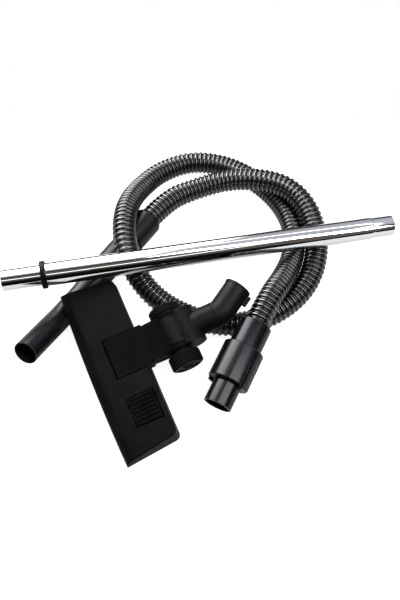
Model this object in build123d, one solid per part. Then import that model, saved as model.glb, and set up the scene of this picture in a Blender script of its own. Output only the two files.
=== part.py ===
from build123d import *
import math
import os

# Hose, wand and floor head of a canister vacuum cleaner, laid out in a heap. Millimetres, +Z up.
# Layout points are measured from the floor below the middle of the heap's view.
# The part's own origin is the middle of the footprint of the wand, handle and floor head.
kit_middle_x = 8.1
kit_middle_y = -53.1

# Fits
running_gap = 0.05
passing_gap = 0.4
moving_gap = 1.0

# Hose
hose_radius = 16.0
hose_root_radius = 13.9
hose_bore_radius = 12.6
hose_ribs = 200
rib_profile = ((0.04, 0), (0.22, 1), (0.62, 1), (0.80, 0))
bend_share = 0.45
hose_route = (
    (-86, 120, 22.7), (-53, 167, 24.1), (-6, 197, 22), (44, 203, 37), (91, 190, 52),
    (132, 174, 54), (163, 141, 41.5), (178, 95, 30.3), (173, 46, 22.5), (147, 3, 16),
    (105, -34, 16), (52, -52, 16), (-4, -43, 16), (-54, -18, 20), (-90, 14, 40),
    (-108, 57, 59), (-112, 103, 62), (-107, 149, 46), (-93, 193, 25), (-64, 232, 16),
    (-16, 255, 16), (38, 248, 16), (86, 218, 16), (123, 175, 16), (142, 123, 16),
    (138, 68, 18), (120, 17, 34), (95.5, -27.5, 57), (71.2, -76.9, 50),
)
gap_samples = 480
gap_skip_length = 90.0

# Handle
cuff_lip_length = 12.0
cuff_seat_length = 34.0
cuff_radius = 21.8
cuff_lip_chamfer = 3.0
cuff_seat_radius = 18.6
grip_radius = 20.0
grip_straight_end = 110.0
grip_taper_end = 150.0
grip_length = 188.5
handle_radius = 16.7
handle_bore_radius = 13.4
handle_bend_radius = 60.0
handle_end_length = 96.5
handle_end_rise = 26.0
handle_end_bearing = 247.8
handle_mouth_radius = 15.1
handle_mouth_depth = 40.0
handle_bush_length = 24.0
handle_bush_radius = 17.0
clip_ring_start = 4.0
clip_ring_width = 2.0
clip_ring_depth = 0.7
clip_ring_proud = 0.9
clip_ring_split = 6.0

# Machine connector
sleeve_lip_length = 10.0
sleeve_length = 38.0
sleeve_radius = 22.5
machine_bush_length = 22.0
machine_bush_radius = 18.5
sleeve_bore_radius = 14.0
swivel_neck_radius = 18.0
swivel_neck_length = 15.2
connector_radius = 28.0
connector_wall = 2.6
connector_length = 52.0
connector_back_wall = 4.0
connector_front_wall = 5.0
swivel_ring_width = 3.0
swivel_ring_depth = 1.2
swivel_ring_proud = 3.0
spigot_radius = 18.8
spigot_bore_radius = 16.4
spigot_length = 32.0
spigot_groove_width = 1.2
spigot_groove_depth = 0.6
spigot_flange_radius = 23.4
spigot_flange_width = 4.0
seal_width = 2.4
latch_roll = 28.0
latch_half_width = 10.0
latch_corner = 7.0
latch_thickness = 1.9
latch_recess = 0.4
latch_back = 10.0
latch_pivot = 31.6
latch_pin_radius = 1.25
latch_pin_offset = 23.6
latch_pin_length = 24.0
latch_lug = 6.0
latch_nose_length = 2.5
latch_nose_width = 10.0
latch_hook = 1.4
latch_hook_length = 3.5

# Floor head, in its own frame: x along the head, y back from the front edge, z up from the sole
head_at = (-144.2, -133.8, 20.0)
head_bearing = -65.66
head_pitch = 9.05
head_length = 254.0
head_end_rake = 7.5
head_depth = 79.0
head_front_bow = 3.0
head_draft = 10.0
head_corner = 9.0
head_wall = 2.5
head_fold_back = 9.0
head_fold_height = 16.0
head_bevel_slope = 0.846
head_top_slope = 0.194
head_fold_round = 8.0
head_edge_round = 2.5
sole_thickness = 2.6
mouth_width = 92.0
mouth_depth = 12.0
mouth_back = 46.0
screw_radius = 1.5
screw_head_radius = 3.0
screw_head_height = 1.6
screw_length = 9.0
screw_boss_radius = 4.0
screw_places = ((-108, 14), (108, 14), (-104, 64), (104, 64))
lint_length = 38.0
lint_depth = 5.0
lint_thickness = 1.0
lint_back = 52.0
lint_out = 66.0

# Brush bar and pedal
brush_length = 190.0
brush_width = 4.0
brush_rows = (12.0, 23.0)
brush_lift = 0.4
brush_travel = 4.4
brush_backing = 4.0
carrier_thickness = 2.0
carrier_margin = 1.5
carrier_end_width = 6.0
carrier_tab_width = 16.0
carrier_tab_depth = 8.0
pedal_middle = 68.5
pedal_width = 39.0
pedal_depth = 36.0
pedal_back = 48.0
pedal_thickness = 3.5
pedal_rib_count = 7
pedal_rib_height = 1.2
pedal_rib_width = 2.4
pedal_lip_width = 3.0
pedal_lip_height = 1.6
pedal_pin_radius = 2.0
pedal_pin_height = 15.0
pedal_hub_radius = 4.0
pedal_post_width = 3.5
post_depth = 10.0
post_top = 17.5

# Neck
neck_middle = -9.0
arm_half_width = 28.0
arm_cheek_outer = 25.4
arm_cheek_inner = 19.0
arm_front = 30.5
arm_front_top = 20.8
arm_bottom = 8.0
arm_shoulder = 84.0
arm_shoulder_top = 31.5
arm_back = 101.0
arm_back_top = 36.5
arm_wall = 3.0
cheek_radius = 18.5
neck_pin_back = 38.0
neck_pin_height = 13.0
neck_pin_radius = 2.5
neck_post_width = 6.0
axle_back = 122.0
axle_height = 27.0
axle_radius = 4.0
axle_boss_radius = 15.0
axle_head_radius = 6.0
axle_head_width = 1.7
axle_grip = 4.4
wheel_stand_off = 11.5
wheel_radius = 22.0
wheel_hub_radius = 18.4
wheel_width = 13.0
wheel_dish = 2.0
wheel_rim = 2.4
tyre_margin = 1.0
tyre_crown = 1.4
knuckle_radius = 19.5
knuckle_half_width = 18.6
knuckle_bore_radius = 13.0
neck_rise = 7.0
knuckle_reach = 38.0
drum_radius = 20.0
drum_reach = 17.5
drum_half_width = 25.0
neck_tube_radius = 18.2
neck_sleeve_radius = 16.6
neck_sleeve_bore = 14.4
collar_length = 20.0
collar_radius = 18.4
journal_length = 17.0
journal_wall = 1.7
neck_clip_place = 8.0
neck_clip_width = 2.0
neck_clip_depth = 0.8
socket_radius = 18.5
socket_bend = 32.0
socket_bend_radius = 24.0
socket_straight = 10.0
socket_end_length = 44.0
socket_mouth_radius = 14.4
socket_mouth_depth = 22.0
socket_bead = 0.8
socket_bead_width = 3.0
socket_seal_width = 2.0
socket_seal_depth = 0.6
lock_length = 14.2
lock_width = 6.0
lock_back = 11.5
lock_floor = 15.2
lock_height = 7.0
lock_travel = 1.3

# Wand
wand_left = (-265.1, -20.2, 86.6)
wand_right = (281.0, 96.3, 53.6)
wand_radius = 16.0
wand_wall = 0.8
wand_neck_radius = 15.0
wand_neck_length = 33.0
wand_bead = 0.4
wand_bead_width = 2.0
inner_radius = 14.3
inner_length = 480.0
tip_length = 51.5
guide_length = 30.0
guide_flange = 1.6
ring_radius = 19.0
ring_width = 7.0
ring_lip = 1.6
stop_length = 12.0
tip_round = 0.3
tip_groove_width = 1.5
tip_groove_depth = 0.25

up = Vector(0, 0, 1)


def at(x, y, z):
    return Vector(x - kit_middle_x, y - kit_middle_y, z)


def turned(outline):
    points = [(radius, 0, height) for radius, height in outline]
    return revolve(make_face(Polyline(*points, close=True)), Axis.Z)


def tube(outer, inner, start, end):
    return Pos(0, 0, start) * extrude(Circle(outer) - Circle(inner), end - start)


def rod(radius, start, end):
    return Pos(0, 0, start) * extrude(Circle(radius), end - start)


def block(x, y, z):
    middle = Pos((x[0] + x[1]) / 2, (y[0] + y[1]) / 2, (z[0] + z[1]) / 2)
    return middle * Box(x[1] - x[0], y[1] - y[0], z[1] - z[0])


def rod_along_x(radius, start, end, back, height):
    return Pos(start, back, height) * Rot(0, 90, 0) * extrude(Circle(radius), end - start)


def frame_along(origin, direction, side):
    return Plane(origin=origin, x_dir=side, z_dir=direction)


def level_frame(origin, direction):
    return frame_along(origin, direction, up.cross(direction))


def bearing_vector(bearing, rise):
    flat = math.cos(math.radians(rise))
    x = flat * math.cos(math.radians(bearing))
    y = flat * math.sin(math.radians(bearing))
    return Vector(x, y, math.sin(math.radians(rise)))


# Hose route: straight runs joined by tangent arcs
route = [at(*point) for point in hose_route]


def route_radii():
    radii = []
    for before, corner, after in zip(route, route[1:], route[2:]):
        run_in = corner - before
        run_out = after - corner
        turn = math.radians(run_in.get_angle(run_out))
        radii.append(bend_share * min(run_in.length, run_out.length) / math.tan(turn / 2))
    return radii


hose_radii = route_radii()
hose_path = FilletPolyline(*route, radius=hose_radii)
hose_line = hose_path.wire()


def hose_section(share, radius):
    direction = hose_line.tangent_at(share)
    return Wire.make_circle(radius, level_frame(hose_line.position_at(share), direction))


def hose():
    sections = [hose_section(0, hose_root_radius)]
    for rib in range(hose_ribs):
        for share, crest in rib_profile:
            radius = hose_radius if crest else hose_root_radius
            sections.append(hose_section((rib + share) / hose_ribs, radius))
    sections.append(hose_section(1, hose_root_radius))
    ribbed = Solid.make_loft(sections, ruled=True)
    start = level_frame(hose_line.position_at(0), hose_line.tangent_at(0))
    bore = sweep(start * Circle(hose_bore_radius), path=hose_path)
    return ribbed - bore


def hose_self_gap():
    points = [hose_line.position_at(i / gap_samples) for i in range(gap_samples + 1)]
    skip = int(gap_skip_length / hose_line.length * gap_samples)
    nearest = min(
        (points[i] - points[j]).length
        for i in range(gap_samples + 1)
        for j in range(i + skip, gap_samples + 1)
    )
    return nearest - 2 * hose_radius


# Handle: local z runs from the hose's end into the handle
handle_axis = (route[0] - route[1]).normalized()
handle_frame = level_frame(route[0], handle_axis)
handle_corner = route[0] + handle_axis * grip_length
handle_end_axis = bearing_vector(handle_end_bearing, handle_end_rise)
handle_end = handle_corner + handle_end_axis * handle_end_length
handle_mouth_frame = level_frame(handle_end, handle_end_axis)
clip_ring_end = clip_ring_start + clip_ring_width


def handle_sweep(radius, start, beyond):
    first = route[0] + handle_axis * start
    last = handle_end + handle_end_axis * beyond
    path = FilletPolyline(first, handle_corner, last, radius=handle_bend_radius)
    return sweep(level_frame(first, handle_axis) * Circle(radius), path=path)


def handle_tube():
    shoulder = cuff_seat_length + passing_gap
    grip = turned((
        (0, 0), (cuff_seat_radius, 0), (cuff_seat_radius, shoulder), (grip_radius, shoulder),
        (grip_radius, grip_straight_end), (handle_radius, grip_taper_end), (0, grip_taper_end),
    ))
    groove_floor = cuff_seat_radius - clip_ring_depth
    groove = tube(cuff_seat_radius + 1, groove_floor, clip_ring_start, clip_ring_end)
    bush_seat = rod(handle_bush_radius, -1, handle_bush_length)
    body = handle_frame * (grip - groove) + handle_sweep(handle_radius, grip_straight_end, 0)
    body -= handle_sweep(handle_bore_radius, 0, 1)
    body -= handle_frame * bush_seat
    body -= handle_mouth_frame * rod(handle_mouth_radius, -handle_mouth_depth, 1)
    return body


def handle_cuff():
    seat = cuff_seat_radius + running_gap
    lip_hole = hose_radius + moving_gap / 2
    groove = seat + clip_ring_proud + passing_gap / 2
    body = turned((
        (lip_hole, -cuff_lip_length), (cuff_radius - cuff_lip_chamfer / 3, -cuff_lip_length),
        (cuff_radius, cuff_lip_chamfer - cuff_lip_length), (cuff_radius, cuff_seat_length),
        (seat, cuff_seat_length), (seat, clip_ring_end + passing_gap),
        (groove, clip_ring_end + passing_gap), (groove, clip_ring_start - passing_gap),
        (seat, clip_ring_start - passing_gap), (seat, -passing_gap), (lip_hole, -passing_gap),
    ))
    return handle_frame * body


def handle_thread_bush():
    return handle_frame * tube(handle_bush_radius, hose_bore_radius, 0, handle_bush_length)


def handle_clip_ring():
    inner = cuff_seat_radius - clip_ring_depth
    ring = tube(cuff_seat_radius + clip_ring_proud, inner, clip_ring_start, clip_ring_end)
    half_split = clip_ring_split / 2
    reach = (0, 2 * cuff_radius)
    split = block(reach, (-half_split, half_split), (clip_ring_start - 1, clip_ring_end + 1))
    return handle_frame * (ring - split)


# Machine connector: local z runs from the hose's end towards the spigot, x points at one latch
connector_axis = (route[-1] - route[-2]).normalized()
connector_right = up.cross(connector_axis).normalized()
connector_up = connector_axis.cross(connector_right)
latch_side = connector_right * math.cos(math.radians(latch_roll))
latch_side += connector_up * math.sin(math.radians(latch_roll))
connector_frame = frame_along(route[-1], connector_axis, latch_side)
sleeve_end = sleeve_length - sleeve_lip_length
neck_end = sleeve_end + swivel_neck_length
body_start = sleeve_end + passing_gap
body_end = body_start + connector_length
ring_start = body_start + connector_back_wall + passing_gap
ring_end = ring_start + swivel_ring_width
spigot_start = neck_end + passing_gap + seal_width
spigot_end = body_end + spigot_length
front_wall_start = body_end - connector_front_wall
latch_inner_radius = connector_radius - latch_recess - latch_thickness
latch_start = body_start + latch_back
pivot_z = body_start + latch_pivot


def machine_cuff():
    lip_hole = hose_radius + moving_gap / 2
    groove_floor = swivel_neck_radius - swivel_ring_depth
    body = turned((
        (lip_hole, -sleeve_lip_length), (sleeve_radius - 1, -sleeve_lip_length),
        (sleeve_radius, 1 - sleeve_lip_length), (sleeve_radius, sleeve_end),
        (swivel_neck_radius, sleeve_end), (swivel_neck_radius, ring_start),
        (groove_floor, ring_start), (groove_floor, ring_end), (swivel_neck_radius, ring_end),
        (swivel_neck_radius, neck_end), (sleeve_bore_radius, neck_end),
        (sleeve_bore_radius, machine_bush_length), (machine_bush_radius, machine_bush_length),
        (machine_bush_radius, 0), (lip_hole, 0),
    ))
    return connector_frame * body


def machine_thread_bush():
    return connector_frame * tube(machine_bush_radius, hose_bore_radius, 0, machine_bush_length)


def swivel_ring():
    inner = swivel_neck_radius - swivel_ring_depth
    return connector_frame * tube(swivel_neck_radius + swivel_ring_proud, inner, ring_start, ring_end)


def latch_prism(half_width, start, end, low, high):
    # a slab with rounded corners at its back end, facing local +x
    length = end - start
    outline = Pos(0, start + length / 2) * RectangleRounded(2 * half_width, length, latch_corner)
    return extrude(Plane.YZ.offset(low) * outline, high - low)


def both_sides(shape):
    return shape + Rot(0, 0, 180) * shape


def connector_body():
    inner = connector_radius - connector_wall
    body = turned((
        (swivel_neck_radius + running_gap, body_start), (connector_radius - 1, body_start),
        (connector_radius, body_start + 1), (connector_radius, body_end - 1),
        (connector_radius - 1, body_end), (spigot_radius, body_end),
        (spigot_radius, front_wall_start), (inner, front_wall_start),
        (inner, body_start + connector_back_wall),
        (swivel_neck_radius + running_gap, body_start + connector_back_wall),
    ))
    half = latch_half_width + passing_gap
    past_front = body_end + 3 * latch_corner
    low = latch_pin_offset - latch_recess
    window = latch_prism(half, latch_start - passing_gap, past_front, low, connector_radius + 1)
    lug_room = block((latch_pin_offset - latch_lug / 2, connector_radius), (-half, half),
                     (latch_start + latch_corner, front_wall_start))
    pin_hole = latch_pin(latch_pin_radius)
    return connector_frame * (body - both_sides(window + lug_room + pin_hole))


def latch_pin(radius):
    place = Pos(latch_pin_offset, latch_pin_length / 2, pivot_z)
    return place * Rot(90, 0, 0) * extrude(Circle(radius), latch_pin_length)


def latch_lever():
    outer = connector_radius - latch_recess
    past_front = body_end + 3 * latch_corner
    pad = tube(outer, latch_inner_radius, latch_start, body_end)
    pad &= latch_prism(latch_half_width, latch_start, past_front, 0, connector_radius)
    half_lug = latch_lug / 2
    nose_top = outer - latch_recess
    nose_low = nose_top - latch_thickness
    half_nose = latch_nose_width / 2
    nose_end = body_end + latch_nose_length
    lug = block((latch_pin_offset - half_lug + passing_gap, latch_inner_radius + 0.5),
                (-latch_half_width, latch_half_width), (pivot_z - half_lug, pivot_z + half_lug))
    nose = block((nose_low, nose_top), (-half_nose, half_nose), (body_end - latch_lug, nose_end))
    hook = block((nose_low, nose_top + latch_hook), (-half_nose, half_nose),
                 (nose_end - latch_hook_length, nose_end))
    return pad + lug + nose + hook - latch_pin(latch_pin_radius + running_gap)


def latch_lever_right():
    return connector_frame * latch_lever()


def latch_lever_left():
    return connector_frame * (Rot(0, 0, 180) * latch_lever())


def latch_pins():
    return connector_frame * both_sides(latch_pin(latch_pin_radius))


def connector_spigot():
    flange = tube(spigot_flange_radius, spigot_bore_radius, front_wall_start - spigot_flange_width,
                  front_wall_start)
    groove = tube(spigot_radius + 1, spigot_radius - spigot_groove_depth, body_end - passing_gap,
                  body_end + spigot_groove_width)
    pipe = tube(spigot_radius, spigot_bore_radius, spigot_start, spigot_end)
    return connector_frame * (pipe + flange - groove)


def spigot_seal():
    return connector_frame * tube(spigot_radius, spigot_bore_radius, spigot_start - seal_width, spigot_start)


# Floor head
head_cos = math.cos(math.radians(head_pitch))
head_sin = math.sin(math.radians(head_pitch))
head_flat = bearing_vector(head_bearing, 0)
head_x = head_flat * head_cos - up * head_sin
head_z = head_flat * head_sin + up * head_cos
head_frame = Plane(origin=at(*head_at), x_dir=head_x, z_dir=head_z)
head_tall = head_fold_height + head_top_slope * head_depth
carrier_bottom = sole_thickness + brush_travel + passing_gap
carrier_top = carrier_bottom + carrier_thickness
pedal_front = pedal_back - pedal_depth / 2
pedal_rear = pedal_back + pedal_depth / 2


def top_height(back):
    return head_fold_height + (back - head_fold_back) * head_top_slope


def head_plan(inset):
    half = head_length / 2 - inset
    rear = half - head_end_rake
    depth = head_depth - inset
    front = ThreePointArc((-half, inset), (0, inset - head_front_bow), (half, inset))
    sides = Polyline((half, inset), (rear, depth), (-rear, depth), (-half, inset))
    return make_face([front, sides.edges()])


def head_block(inset):
    # the head's outer form, or its hollow when inset by a wall
    body = extrude(head_plan(inset), head_tall + head_wall, taper=head_draft)
    fold_y = head_fold_back + inset / 2
    fold_z = head_fold_height - inset
    low_y = fold_y - fold_z / head_bevel_slope
    far_y = head_depth + head_wall
    far_z = fold_z + (far_y - fold_y) * head_top_slope
    section = make_face(Polyline((low_y, 0), (fold_y, fold_z), (far_y, far_z), (far_y, 0), close=True))
    return body & extrude(Plane.YZ * section, head_length, both=True)


def is_end(edge):
    return abs(edge.center().X) > head_length / 2 - 2 * head_corner


def is_rear_corner(edge):
    height = edge.center().Z
    return is_end(edge) and edge.center().Y > head_depth - 2 * head_corner and 5 < height < head_fold_height


def is_fold(edge):
    return abs(edge.center().Y - head_fold_back) < 0.5 and not is_end(edge)


def is_top_edge(edge):
    centre = edge.center()
    if is_end(edge) and centre.Y < 2 * head_fold_back:
        return centre.Z > head_fold_height / 2 and edge.length < head_fold_height
    return centre.Z > head_fold_height + 2 and (is_end(edge) or centre.Y > head_depth / 2)


def rounded_head():
    body = head_block(0)
    body = fillet(body.edges().filter_by(is_rear_corner), head_corner)
    body = fillet(body.edges().filter_by(is_fold), head_fold_round)
    return fillet(body.edges().filter_by(is_top_edge), head_edge_round)


def screw_bosses(radius, start):
    bosses = [Pos(x, y) * rod(radius, start, top_height(y) - head_wall / 2) for x, y in screw_places]
    return bosses


def recess_boxes():
    high = head_tall + head_wall
    neck = block(neck_pin_reach(), (arm_front - 2 * moving_gap, 2 * head_depth), (0, high))
    half_pedal = pedal_width / 2 + moving_gap
    pedal_x = (pedal_middle - half_pedal, pedal_middle + half_pedal)
    pedal_y = (pedal_front - moving_gap, pedal_rear + moving_gap)
    return neck + block(pedal_x, pedal_y, (sole_thickness, high))


def head_cover():
    outer = rounded_head()
    shell = outer - head_block(head_wall)
    shell += outer & (Part() + screw_bosses(screw_boss_radius, sole_thickness))
    shell -= block((-head_length, head_length), (-head_length, head_length), (-1, sole_thickness))
    shell -= recess_boxes()
    return head_frame * (shell - Compound(screw_bodies()))


def screw_bodies():
    bodies = []
    for x, y in screw_places:
        head = rod(screw_head_radius, 0, screw_head_height)
        shank = rod(screw_radius, screw_head_height, screw_length)
        bodies.append(Pos(x, y) * (head + shank))
    return bodies


def head_screws():
    return head_frame * Compound(screw_bodies())


def brush_slots():
    half = brush_length / 2 + passing_gap
    wide = brush_width / 2 + passing_gap
    return [block((-half, half), (row - wide, row + wide), (-1, sole_thickness + 1)) for row in brush_rows]


def lint_bodies():
    half = lint_length / 2
    places = (-lint_out, lint_out)
    return [block((x - half, x + half), (lint_back, lint_back + lint_depth), (0, lint_thickness))
            for x in places]


def pin_posts(reach, width, back):
    posts = []
    for side in (-1, 1):
        inner = reach[0] if side < 0 else reach[1]
        outer = inner + side * width
        x = (min(inner, outer), max(inner, outer))
        posts.append(block(x, (back - post_depth / 2, back + post_depth / 2), (sole_thickness, post_top)))
    return posts


def neck_pin_reach():
    half = arm_half_width + moving_gap
    return (neck_middle - half, neck_middle + half)


def pedal_pin_reach():
    half = pedal_width / 2 + passing_gap
    return (pedal_middle - half, pedal_middle + half)


def cross_pin(radius, reach, width, back, height):
    return rod_along_x(radius, reach[0] - width, reach[1] + width, back, height)


def neck_pin_body(radius):
    return cross_pin(radius, neck_pin_reach(), neck_post_width, neck_pin_back, neck_pin_height)


def pedal_pin_body(radius):
    return cross_pin(radius, pedal_pin_reach(), pedal_post_width, pedal_back, pedal_pin_height)


def sole_plate():
    wide = (-head_length, head_length)
    plate = rounded_head() & block(wide, wide, (0, sole_thickness))
    half_mouth = mouth_width / 2
    mouth_y = (mouth_back, mouth_back + mouth_depth)
    plate -= block((-half_mouth, half_mouth), mouth_y, (-1, sole_thickness + 1))
    for slot in brush_slots():
        plate -= slot
    plate -= Compound(lint_bodies())
    plate -= Compound(screw_bodies())
    for post in pin_posts(neck_pin_reach(), neck_post_width, neck_pin_back):
        plate += post
    for post in pin_posts(pedal_pin_reach(), pedal_post_width, pedal_back):
        plate += post
    plate -= neck_pin_body(neck_pin_radius)
    plate -= pedal_pin_body(pedal_pin_radius)
    return head_frame * plate


def lint_strips():
    return head_frame * Compound(lint_bodies())


def neck_pin():
    return head_frame * neck_pin_body(neck_pin_radius)


def pedal_pin():
    return head_frame * pedal_pin_body(pedal_pin_radius)


def brush_strip(row):
    half = brush_length / 2
    wide = brush_width / 2
    return block((-half, half), (row - wide, row + wide), (brush_lift, carrier_bottom))


def front_brush():
    return head_frame * brush_strip(brush_rows[0])


def rear_brush():
    return head_frame * brush_strip(brush_rows[1])


def brush_carrier():
    half = brush_length / 2
    wide = brush_width / 2 + carrier_margin
    level = (carrier_bottom, carrier_top)
    front = brush_rows[0] - wide
    rear = brush_rows[1] + wide
    frame = block((-half, half), (front, rear), level)
    inner = half - carrier_end_width
    frame -= block((-inner, inner), (brush_rows[0] + wide, brush_rows[1] - wide), (0, head_tall))
    half_tab = carrier_tab_width / 2
    tab = block((pedal_middle - half_tab, pedal_middle + half_tab), (rear, rear + carrier_tab_depth), level)
    return head_frame * (frame + tab)


def pedal():
    half = pedal_width / 2
    x = (pedal_middle - half, pedal_middle + half)
    tilt = math.degrees(math.atan(head_top_slope))
    middle = Pos(pedal_middle, pedal_back, top_height(pedal_back)) * Rot(tilt, 0, 0)
    plate = block((-half, half), (-pedal_depth / 2, pedal_depth / 2), (-pedal_thickness, 0))
    pitch = pedal_width / pedal_rib_count
    for rib in range(pedal_rib_count):
        centre = (rib + 0.5) * pitch - half
        wide = pedal_rib_width / 2
        long = pedal_depth / 2 - pedal_lip_width
        plate += block((centre - wide, centre + wide), (-long, long), (0, pedal_rib_height))
    lip = (pedal_depth / 2 - pedal_lip_width, pedal_depth / 2)
    plate += block((-half, half), lip, (0, pedal_lip_height))
    hub = rod_along_x(pedal_hub_radius, x[0], x[1], pedal_back, pedal_pin_height)
    web_top = top_height(pedal_back) - pedal_thickness / 2
    web_y = (pedal_back - pedal_hub_radius, pedal_back + pedal_hub_radius)
    web = block(x, web_y, (pedal_pin_height, web_top))
    hole = pedal_pin_body(pedal_pin_radius + running_gap)
    return head_frame * (middle * plate + hub + web - hole)


# Neck: the arm rocks on the head, the knuckle turns on the axle, the socket turns in the collar
def arm_side(points, half):
    face = make_face(Polyline(*points, close=True))
    return extrude(Plane.YZ * face, half, both=True)


def neck_arm():
    front = arm_side((
        (arm_front, arm_bottom), (arm_front, arm_front_top), (arm_shoulder, arm_shoulder_top),
        (arm_shoulder, arm_bottom),
    ), arm_half_width)
    back = arm_side((
        (arm_shoulder, arm_bottom), (arm_shoulder, arm_shoulder_top), (arm_back, arm_back_top),
        (axle_back, axle_height + cheek_radius), (axle_back, axle_height - cheek_radius),
    ), arm_cheek_outer)
    body = front + back
    boss_end = arm_cheek_outer + wheel_stand_off
    body += rod_along_x(cheek_radius, -arm_cheek_outer, arm_cheek_outer, axle_back, axle_height)
    body += rod_along_x(axle_boss_radius, 0, boss_end, axle_back, axle_height)
    body = fillet(body.edges().filter_by(Axis.X).group_by(Axis.Z)[-1], arm_wall)
    knuckle_room = knuckle_radius + passing_gap
    fork = block((-arm_cheek_inner, arm_cheek_inner), (axle_back, axle_back + 2 * cheek_radius),
                 (0, 2 * knuckle_room))
    body -= rod_along_x(knuckle_room, -arm_cheek_inner, arm_cheek_inner, axle_back, axle_height)
    body -= fork
    duct_half = arm_cheek_inner
    duct_front = neck_pin_back + neck_pin_radius + arm_wall
    duct = arm_side((
        (duct_front, 0), (duct_front, arm_front_top - arm_wall), (arm_shoulder, arm_shoulder_top - arm_wall),
        (arm_back, arm_shoulder_top - arm_wall), (arm_back, 0),
    ), duct_half)
    duct &= block((-duct_half, duct_half), (0, 2 * axle_back), (-1, arm_shoulder_top))
    body -= duct
    body -= rod_along_x(axle_radius, -boss_end - 1, boss_end + 1, axle_back, axle_height)
    body = Pos(neck_middle, 0, 0) * body - neck_pin_body(neck_pin_radius + running_gap)
    return head_frame * body


wheel_inner = arm_cheek_outer + passing_gap
wheel_outer = wheel_inner + wheel_width
axle_inner = knuckle_half_width - axle_grip
axle_outer = wheel_outer + passing_gap


def both_ends(shape):
    return shape + Rot(0, 0, 180) * shape


def stand_off(side):
    return wheel_stand_off if side > 0 else 0


def on_axle(shape, side):
    # a turned shape whose local z points outwards along the axle
    turn = 90 if side > 0 else -90
    return head_frame * (Pos(neck_middle, axle_back, axle_height) * Rot(0, turn, 0) * shape)


def axle_stub(side):
    end = axle_outer + stand_off(side)
    head = rod(axle_head_radius, end, end + axle_head_width)
    return on_axle(rod(axle_radius, axle_inner, end) + head, side)


def axles():
    return axle_stub(1) + axle_stub(-1)


def wheel_body(side):
    bore = axle_radius + running_gap
    rim = wheel_hub_radius - wheel_rim
    boss = axle_head_radius + wheel_rim
    disc = turned((
        (bore, wheel_inner), (wheel_hub_radius, wheel_inner), (wheel_hub_radius, wheel_outer),
        (rim, wheel_outer), (rim, wheel_outer - wheel_dish), (boss, wheel_outer - wheel_dish),
        (boss, wheel_outer), (bore, wheel_outer),
    ))
    return on_axle(Pos(0, 0, stand_off(side)) * disc, side)


def tyre_body(side):
    start = wheel_inner + tyre_margin
    end = wheel_outer - tyre_margin
    shoulder = wheel_radius - tyre_crown
    ring = turned((
        (wheel_hub_radius, start), (shoulder, start), (wheel_radius, start + tyre_crown),
        (wheel_radius, end - tyre_crown), (shoulder, end), (wheel_hub_radius, end),
    ))
    return on_axle(Pos(0, 0, stand_off(side)) * ring, side)


# Collar frame: local z along the neck, local x along the axle
neck_along = Vector(0, math.cos(math.radians(neck_rise)), math.sin(math.radians(neck_rise)))
neck_local = Plane(origin=(neck_middle, axle_back, axle_height), x_dir=(1, 0, 0), z_dir=neck_along)
neck_frame = head_frame.location * neck_local.location
sleeve_top = knuckle_reach + collar_length - 2
socket_start = knuckle_reach + collar_length + passing_gap
clip_start = knuckle_reach + neck_clip_place
clip_end = clip_start + neck_clip_width
journal_radius = neck_sleeve_bore - running_gap
socket_bore = journal_radius - journal_wall
socket_corner = socket_start + socket_straight
socket_lean = math.radians(socket_bend)
socket_axis = Vector(-math.sin(socket_lean), 0, math.cos(socket_lean))
socket_end = Vector(0, 0, socket_corner) + socket_axis * socket_end_length
socket_side = Vector(math.cos(socket_lean), 0, math.sin(socket_lean))
mouth_local = Plane(origin=socket_end, x_dir=socket_side, z_dir=socket_axis)


def neck_knuckle():
    barrel = rod_along_x(knuckle_radius, -knuckle_half_width, knuckle_half_width, 0, 0)
    drum = rod_along_x(drum_radius, -drum_half_width, drum_half_width, 0, drum_reach)
    for side in (-1, 1):
        near, far = sorted((side * knuckle_half_width, side * arm_half_width))
        drum -= rod_along_x(cheek_radius + passing_gap, near, far, 0, 0)
    body = barrel + drum + rod(neck_tube_radius, 0, knuckle_reach) + rod(neck_sleeve_radius, 0, sleeve_top)
    body -= rod(knuckle_bore_radius, -2 * knuckle_radius, sleeve_top + 1)
    body -= rod(neck_sleeve_bore, socket_start - journal_length - passing_gap, sleeve_top + 1)
    body -= rod(neck_sleeve_bore + neck_clip_depth, clip_start, clip_end)
    hole = axle_radius + running_gap
    body -= rod_along_x(hole, -arm_half_width, arm_half_width, 0, 0)
    return neck_frame * body


def neck_collar():
    end = knuckle_reach + collar_length
    return neck_frame * tube(collar_radius, neck_sleeve_radius, knuckle_reach, end)


def swivel_clip():
    inner = journal_radius - neck_clip_depth + running_gap
    ring = tube(neck_sleeve_bore + neck_clip_depth, inner, clip_start, clip_end)
    return neck_frame * ring


def socket_sweep(radius, start, beyond):
    last = socket_end + socket_axis * beyond
    path = FilletPolyline((0, 0, start), (0, 0, socket_corner), last, radius=socket_bend_radius)
    return sweep(Pos(0, 0, start) * Circle(radius), path=path)


def lock_pocket():
    half = lock_length / 2 + passing_gap
    wide = lock_width / 2 + passing_gap
    along = (-lock_back - half, half - lock_back)
    return mouth_local * block((lock_floor, 2 * socket_radius), (-wide, wide), along)


def seal_ring(bore):
    deep = -socket_mouth_depth
    return tube(socket_mouth_radius + socket_seal_depth, bore, deep, deep + socket_seal_width)


def wand_socket():
    body = socket_sweep(socket_radius, socket_start, 0)
    body += mouth_local * rod(socket_radius + socket_bead, -socket_bead_width, 0)
    body += rod(journal_radius, socket_start - journal_length, socket_start + 1)
    groove_floor = journal_radius - neck_clip_depth
    body -= tube(journal_radius + 1, groove_floor, clip_start - passing_gap, clip_end + passing_gap)
    body -= socket_sweep(socket_bore, socket_start - journal_length - 1, 1)
    body -= mouth_local * rod(socket_mouth_radius, -socket_mouth_depth, 1)
    body -= mouth_local * seal_ring(socket_bore)
    return neck_frame * (body - lock_pocket())


def socket_seal():
    return neck_frame * (mouth_local * seal_ring(socket_bore))


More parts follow.
